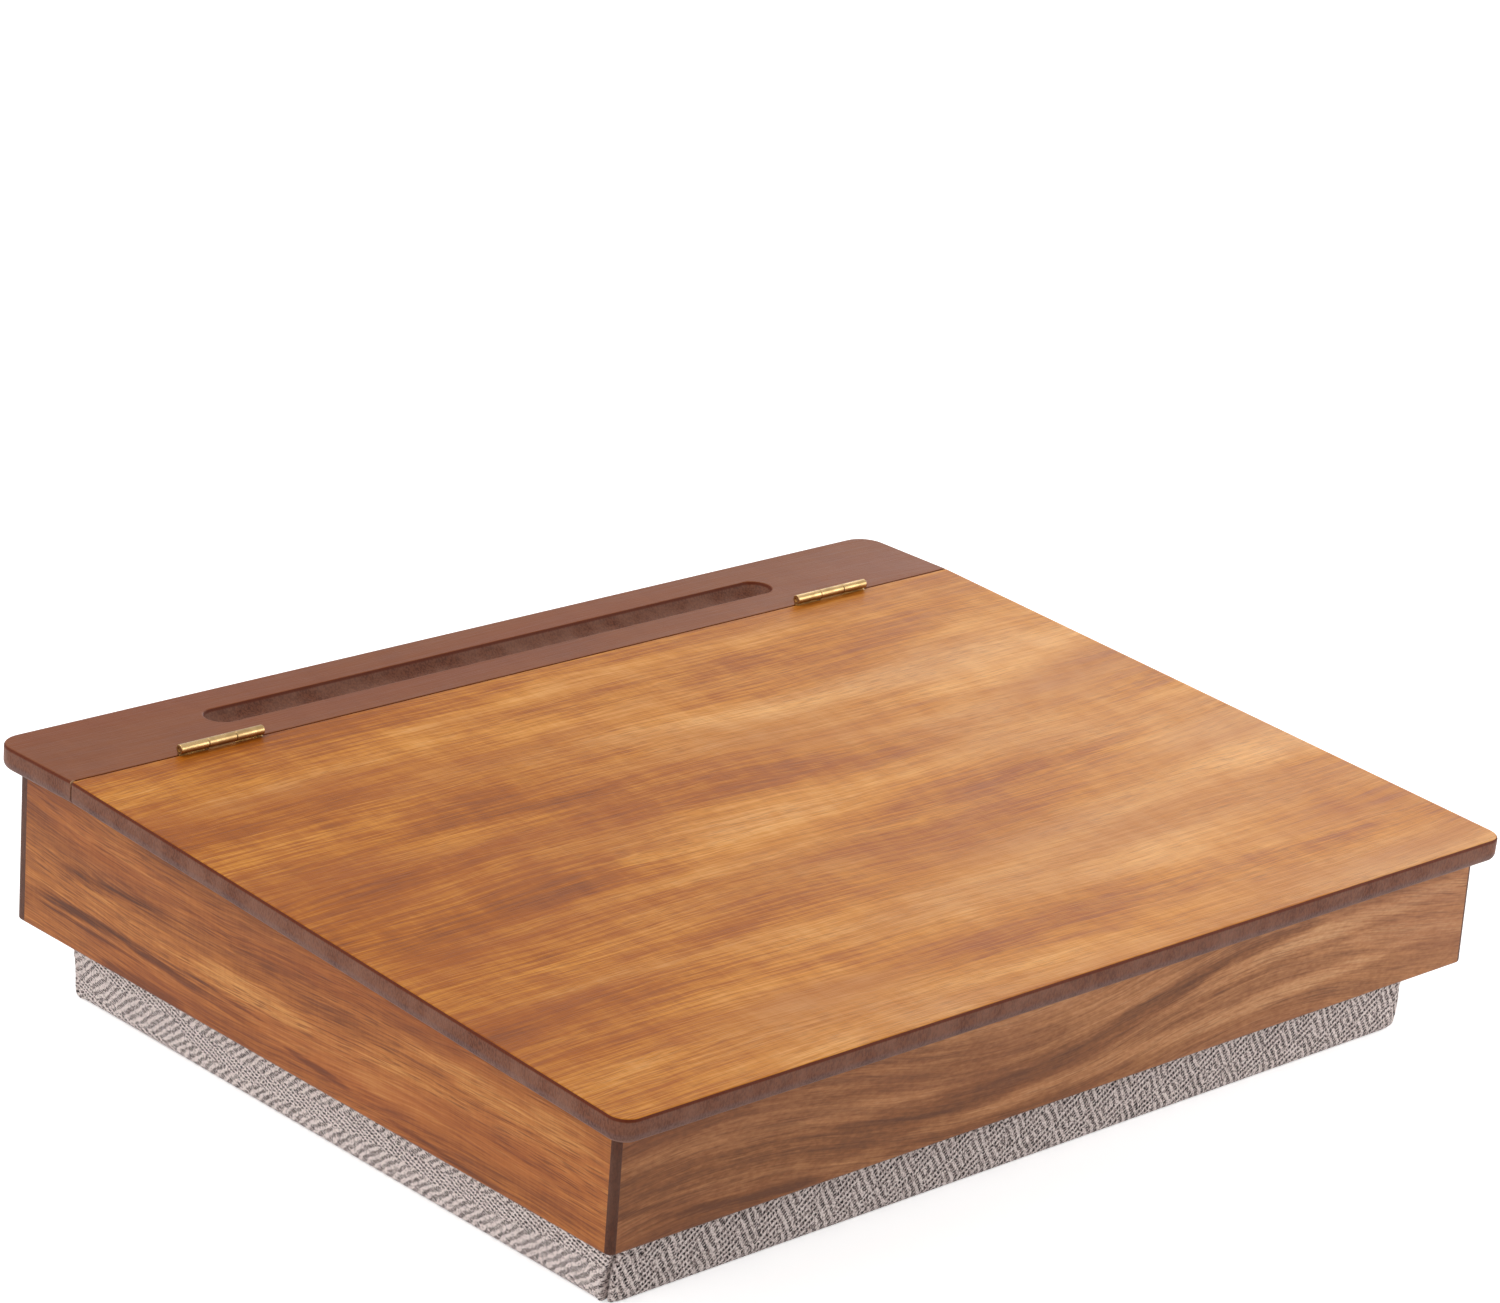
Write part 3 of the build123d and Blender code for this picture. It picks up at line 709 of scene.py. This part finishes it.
def clothRibs(side, along, up):
    # rib numbers of the soft and the crisp columns: q = a * along + b * up,
    # where a = sin t / pitch and b = -cos t / pitch for ribs at an angle t
    (softAlong, softUp), (crispAlong, crispUp) = cloth["endRibs"]
    fanned = crispAlong + cloth["endFan"] * along
    ends = np.stack([softAlong * along + softUp * up, fanned * along + crispUp * up], -1)
    (softAlong, softUp), (crispAlong, crispUp) = cloth["sideRibs"]
    sides = np.stack([softAlong * along + softUp * up, crispAlong * along + crispUp * up], -1)
    return np.where(side[..., None] % 2 == 0, ends, sides)


def clothColumns(side, along, up):
    # (columns passed, jog of the columns below mid height), both in repeats
    jog = np.interp(along, *cloth["frontJog"])
    startAlong, startUp = cloth["frontStart"]
    front = along - startAlong - cloth["frontLean"] * (up - startUp)
    line = up - cloth["sideStart"] - np.interp(along, *cloth["sideLine"])
    ends = np.stack([front, jog], -1)
    sides = np.stack([line, np.zeros_like(line)], -1)
    return np.where(side[..., None] % 2 == 0, ends, sides) / cloth["repeat"]


def buildCushion():
    layout, counts = cushionRing()
    profile, held = cushionProfile()
    halfSize = np.array([coverBox[1].x, coverBox[1].y])
    inset, z, radius = profile[:, 0, None, None], profile[:, 1], profile[:, 2, None, None]
    rings = layout["core"][None] * (halfSize - inset - radius) + radius * layout["normal"][None]
    total = rings.shape[1]
    wall = np.concatenate([rings, np.repeat(z[:, None, None], total, 1)], 2).reshape(-1, 3)
    under = coonsGrid(rings[0], counts, z[0])[1:-1, 1:-1].reshape(-1, 3)
    over = coonsGrid(rings[-1], counts, z[-1])[1:-1, 1:-1].reshape(-1, 3)
    points = np.concatenate([wall, under, over])
    lastRing = (len(profile) - 1) * total
    column = np.arange(total)
    after = (column + 1) % total
    row = np.arange(len(profile) - 1)[:, None] * total
    above = row + total
    wallFaces = np.stack([row + column, row + after, above + after, above + column], -1).reshape(-1, 4)
    underFaces = quads(gridIndex(counts, 0, len(wall)))[:, ::-1]
    overFaces = quads(gridIndex(counts, lastRing, len(wall) + len(under)))
    faces = np.concatenate([wallFaces, underFaces, overFaces])

    rise = np.concatenate([[0], np.cumsum(np.hypot(np.diff(profile[:, 0]), np.diff(z)))])
    low, high = rise[:-1, None], rise[1:, None]
    start, end = layout["start"], layout["end"]
    sides = [(start, low), (end, low), (end, high), (start, high)]
    flatPoints = points[faces[len(wallFaces):].reshape(-1), :2]
    maps = {}
    for name, layer in (("ribs", clothRibs), ("columns", clothColumns)):
        corners = [layer(*np.broadcast_arrays(layout["side"], a, up)) for a, up in sides]
        under = layer(np.zeros(len(flatPoints)), flatPoints[:, 0], -flatPoints[:, 1])
        maps[name] = np.concatenate([np.stack(corners, 2).reshape(-1, 2), under])
    maps["columns"][-len(flatPoints):, 1] = 0

    mesh = bpy.data.meshes.new("lap_cushion")
    mesh.from_pydata(points.tolist(), [], faces.tolist())
    for name, corners in maps.items():
        mesh.uv_layers.new(name=name).data.foreach_set("uv", corners.ravel())
    mesh.shade_smooth()
    piece = bpy.data.objects.new("lap_cushion", mesh)
    bpy.context.scene.collection.objects.link(piece)
    number = np.arange(len(points))
    fixed = ((number >= held * total) & (number < len(wall))) | (number >= len(wall) + len(under))
    piece.vertex_groups.new(name="held").add(number[fixed].tolist(), 1.0, "REPLACE")
    return piece


def readArray(data, name, width=3):
    values = np.empty(len(data) * width, np.float32)
    data.foreach_get(name, values)
    return values.reshape(-1, width).astype(float)


def writePoints(mesh, points):
    mesh.vertices.foreach_set("co", points.astype(np.float32).ravel())
    mesh.update()


def evaluated(piece):
    graph = bpy.context.evaluated_depsgraph_get()
    return bpy.data.meshes.new_from_object(piece.evaluated_get(graph))


def inflate(piece):
    # cloth under pressure; of each move only the outward part m is kept, as swell * tanh(m / swell)
    start = readArray(piece.data.vertices, "co")
    outward = readArray(piece.data.vertices, "normal")
    sim = piece.modifiers.new("pressure", "CLOTH")
    sim.settings.quality = pressing["quality"]
    sim.settings.mass = pressing["mass"]
    sim.settings.tension_stiffness = pressing["stretch"]
    sim.settings.compression_stiffness = pressing["stretch"]
    sim.settings.bending_stiffness = pressing["bend"]
    sim.settings.use_pressure = True
    sim.settings.uniform_pressure_force = pressing["pressure"]
    sim.settings.vertex_group_mass = "held"
    sim.settings.effector_weights.gravity = 0
    sim.point_cache.frame_end = pressing["frames"]
    scene = bpy.context.scene
    for number in range(1, pressing["frames"] + 1):
        scene.frame_set(number)
    moved = readArray(evaluated(piece).vertices, "co") - start
    piece.modifiers.remove(sim)
    scene.frame_set(1)
    out = np.maximum((moved * outward).sum(1, keepdims=True), 0)
    print("cloth moved out up to", round(float(out.max()) * 1000, 2), "mm")
    points = start + outward * pressing["swell"] * np.tanh(out / pressing["swell"])
    points[:, 2] = np.maximum(points[:, 2], 0)
    writePoints(piece.data, points)


def subdivide(piece):
    smooth = piece.modifiers.new("smooth", "SUBSURF")
    smooth.levels = smooth.render_levels = 1
    smooth.uv_smooth = "NONE"
    finer = evaluated(piece)
    piece.modifiers.clear()
    piece.data = finer
    finer.shade_smooth()


def tuckCorners(piece):
    # d is the distance round the corner from a slanted line: a narrow crease, -depth * exp(-(d / width)^2),
    # a folded edge in front of it that falls off as (1 - t)^2 (1 + 2 t), t = d / fold width,
    # a roll behind it, height * exp(-((d + its place) / its width)^2), and small puckers, a sine of d and z
    points = readArray(piece.data.vertices, "co")
    radius = cushion["cornerRadius"]
    sign = np.where(points[:, :2] >= 0, 1.0, -1.0)
    out = points[:, :2] * sign - (np.array([coverBox[1].x, coverBox[1].y]) - radius)
    turned = np.arctan2(np.maximum(out[:, 1], 0), np.maximum(out[:, 0], 0)) - math.pi / 4
    quarter = radius * math.pi / 4
    d = np.where(out[:, 1] <= 0, out[:, 1] - quarter, radius * turned)
    d = np.where(out[:, 0] <= 0, quarter - out[:, 0], d)
    outward = np.maximum(out, 0)
    outward = sign * outward / np.maximum(np.linalg.norm(outward, axis=1, keepdims=True), 1e-9)
    z = points[:, 2]
    shown = np.clip((wallFoot + 0.002 - z) / 0.004, 0, 1) * (out.max(1) > -0.004)
    slanted = cushion["tuckSlant"] * (z / wallFoot - cushion["tuckMiddle"])
    d = d - slanted - cushion["tuckSway"] * np.sin(z * cushion["tuckWaves"])
    crease = -cushion["tuckDepth"] * np.exp(-(d / cushion["tuckWidth"]) ** 2)
    t = np.clip(d / cushion["foldWidth"], 0, 1)
    fold = np.where(d > 0, cushion["foldHeight"] * (1 - t) ** 2 * (1 + 2 * t), 0)
    roll = cushion["rollHeight"] * np.exp(-((d + cushion["rollPlace"]) / cushion["rollWidth"]) ** 2)
    wavesRound, wavesUp = cushion["puckerWaves"]
    pucker = np.sin(d * wavesRound + z * wavesUp) * np.exp(-(d / cushion["puckerReach"]) ** 2)
    pucker = cushion["puckerHeight"] * pucker
    points[:, :2] += outward * ((crease + fold + roll + pucker) * shown)[:, None]
    writePoints(piece.data, points)


weave = {
    # the darkest colour on the next line is painted shade for the grooves between the ribs
    "thread": (252, 237, 232), "middle": (178, 160, 155), "grooveShade": (38, 29, 28),
    "endDuty": 0.47, "sideDuty": 0.36,      # share of a repeat that a crisp column takes
    # in the next four a pair is for the soft columns and the crisp ones
    "grooveFrom": 0.28,                     # a groove's slope, where 0 is a rib's crown and 1 its edge
    "grooveTo": (0.69, 0.70),
    "ticks": (1.7, 2.0),                    # dark ticks to a rib of the other kind
    "tickDepth": (0.66, 0.78),
    "grooveDepth": 0.34,                    # where there is no tick
    "tickLean": 0.30,                       # from a rib's crown to its edge, in ticks
    "tickShift": 0.37,                      # from one rib to the next
    "tickEdge": (0.25, 0.65),
    "tickShare": (0.5, 0.55),               # how much a tick's darkness varies, and the least of it
    "strandDepth": 0.24,
    "lotShare": 0.12, "fuzzShare": 0.95,    # of the tone
    "sidesLighter": 0.10,
    "jogLine": (0.0118, 0.0092),            # height at which the columns jog
    "endsFrom": (0.1425, 0.1440),           # y beyond which a face is the front or the back
    "sway": {"scale": 95.0, "ribs": 0.9, "columns": 0.24},
    "jitter": {"scale": 620.0, "ribs": 0.5, "columns": 0.12},
    "wanderMiddle": 0.18,                   # what sway and jitter add to the columns on average
    "fuzz": (1350, 1350, 1350),
    "relief": 0.0005,
}


def makeHerringbone():
    # with the rib number q of the column that a point is in, |2 frac q - 1| is 0 on a rib's crown and 1 in
    # the groove; a groove is a row of dark ticks, numbered by r = ticks * the rib number of the other kind;
    # the relief also darkens the colour, as painted shade in the grooves, at the ticks and along each strand
    finish = Finish("herringbone")
    ribs = finish.add("ShaderNodeUVMap", uv_map="ribs").outputs[0]
    columns = finish.add("ShaderNodeUVMap", uv_map="columns").outputs[0]
    for loose in (weave["sway"], weave["jitter"]):
        inputs = {"Vector": finish.place, "Scale": loose["scale"], "Detail": 2.0}
        wander = finish.add("ShaderNodeTexNoise", inputs).outputs["Color"]
        ribs = finish.vector("MULTIPLY_ADD", wander, (loose["ribs"], loose["ribs"], 0), ribs)
        columns = finish.vector("MULTIPLY_ADD", wander, (loose["columns"], 0, 0), columns)
    softRib, crispRib = finish.split(ribs)[:2]
    passed, jog = finish.split(columns)[:2]
    y, z = finish.split(finish.place)[1:3]
    onEnds = finish.step(finish.calc("ABSOLUTE", y), *weave["endsFrom"])
    duty = finish.blend(onEnds, weave["sideDuty"], weave["endDuty"])
    lower = finish.step(z, *weave["jogLine"])
    passed = finish.calc("SUBTRACT", passed, finish.calc("MULTIPLY", jog, lower))
    passed = finish.calc("MULTIPLY_ADD", duty, 0.5, finish.calc("SUBTRACT", passed, weave["wanderMiddle"]))
    crisp = finish.calc("LESS_THAN", finish.calc("FRACT", passed), duty)
    q = finish.blend(crisp, softRib, crispRib)
    other = finish.blend(crisp, crispRib, softRib)
    rib = finish.calc("FLOOR", q)
    offset = finish.calc("MULTIPLY_ADD", finish.calc("FRACT", q), 2.0, -1.0)
    aside = finish.calc("ABSOLUTE", offset)
    groove = finish.step(aside, weave["grooveFrom"], finish.blend(crisp, *weave["grooveTo"]))
    r = finish.calc("MULTIPLY", other, finish.blend(crisp, *weave["ticks"]))
    r = finish.calc("MULTIPLY_ADD", rib, weave["tickShift"], r)
    r = finish.calc("MULTIPLY_ADD", offset, weave["tickLean"], r)
    tick = finish.calc("ABSOLUTE", finish.calc("MULTIPLY_ADD", finish.calc("FRACT", r), 2.0, -1.0))
    lot = finish.join(rib, crisp, finish.calc("FLOOR", r))
    lot = finish.add("ShaderNodeTexWhiteNoise", {0: lot}, noise_dimensions="3D").outputs[0]
    share = finish.calc("MULTIPLY_ADD", lot, *weave["tickShare"])
    tick = finish.calc("MULTIPLY", finish.step(tick, *weave["tickEdge"]), share)
    tickDepth = finish.blend(crisp, *weave["tickDepth"])
    depth = finish.calc("MULTIPLY_ADD", tick, tickDepth, weave["grooveDepth"])
    strand = finish.calc("FRACT", finish.calc("MULTIPLY", r, 2.0))
    strand = finish.step(finish.calc("ABSOLUTE", finish.calc("MULTIPLY_ADD", strand, 2.0, -1.0)), 0.1, 0.9)
    # painted shade: the relief that gives the bump also darkens the colour in the grooves, at the ticks and
    # along each strand's twist
    dark = finish.blend(groove, finish.calc("MULTIPLY", strand, weave["strandDepth"]), depth)
    fuzz = finish.noise(finish.place, weave["fuzz"], detail=3, low=0.3, high=0.7)
    height = finish.calc("SUBTRACT", 1.0, dark)
    tone = finish.calc("MULTIPLY_ADD", finish.calc("SUBTRACT", lot, 0.5), weave["lotShare"], height)
    tone = finish.calc("MULTIPLY_ADD", finish.calc("SUBTRACT", fuzz, 0.5), weave["fuzzShare"], tone)
    lighter = weave["sidesLighter"]
    tone = finish.calc("SUBTRACT", tone, finish.calc("MULTIPLY_ADD", onEnds, lighter, -lighter))
    tint = finish.ramp(tone, [(0.06, weave["grooveShade"]), (1.0, weave["thread"]), (0.55, weave["middle"])])
    finish.fill(finish.surface, {
        "Base Color": tint,
        "Roughness": 0.92,
        "Specular IOR Level": 0.12,
        "Sheen Weight": 0.2,
        "Sheen Roughness": 0.5,
        "Normal": finish.bump(finish.calc("MULTIPLY_ADD", fuzz, 0.2, height), weave["relief"]),
    })
    return finish


lapCushion = buildCushion()
inflate(lapCushion)
subdivide(lapCushion)
tuckCorners(lapCushion)
lapCushion.data.materials.append(makeHerringbone().material)
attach(lapCushion, "box")
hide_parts("cushion_cover", "cushion_foam")
print("cushion made:", len(lapCushion.data.polygons), "faces")
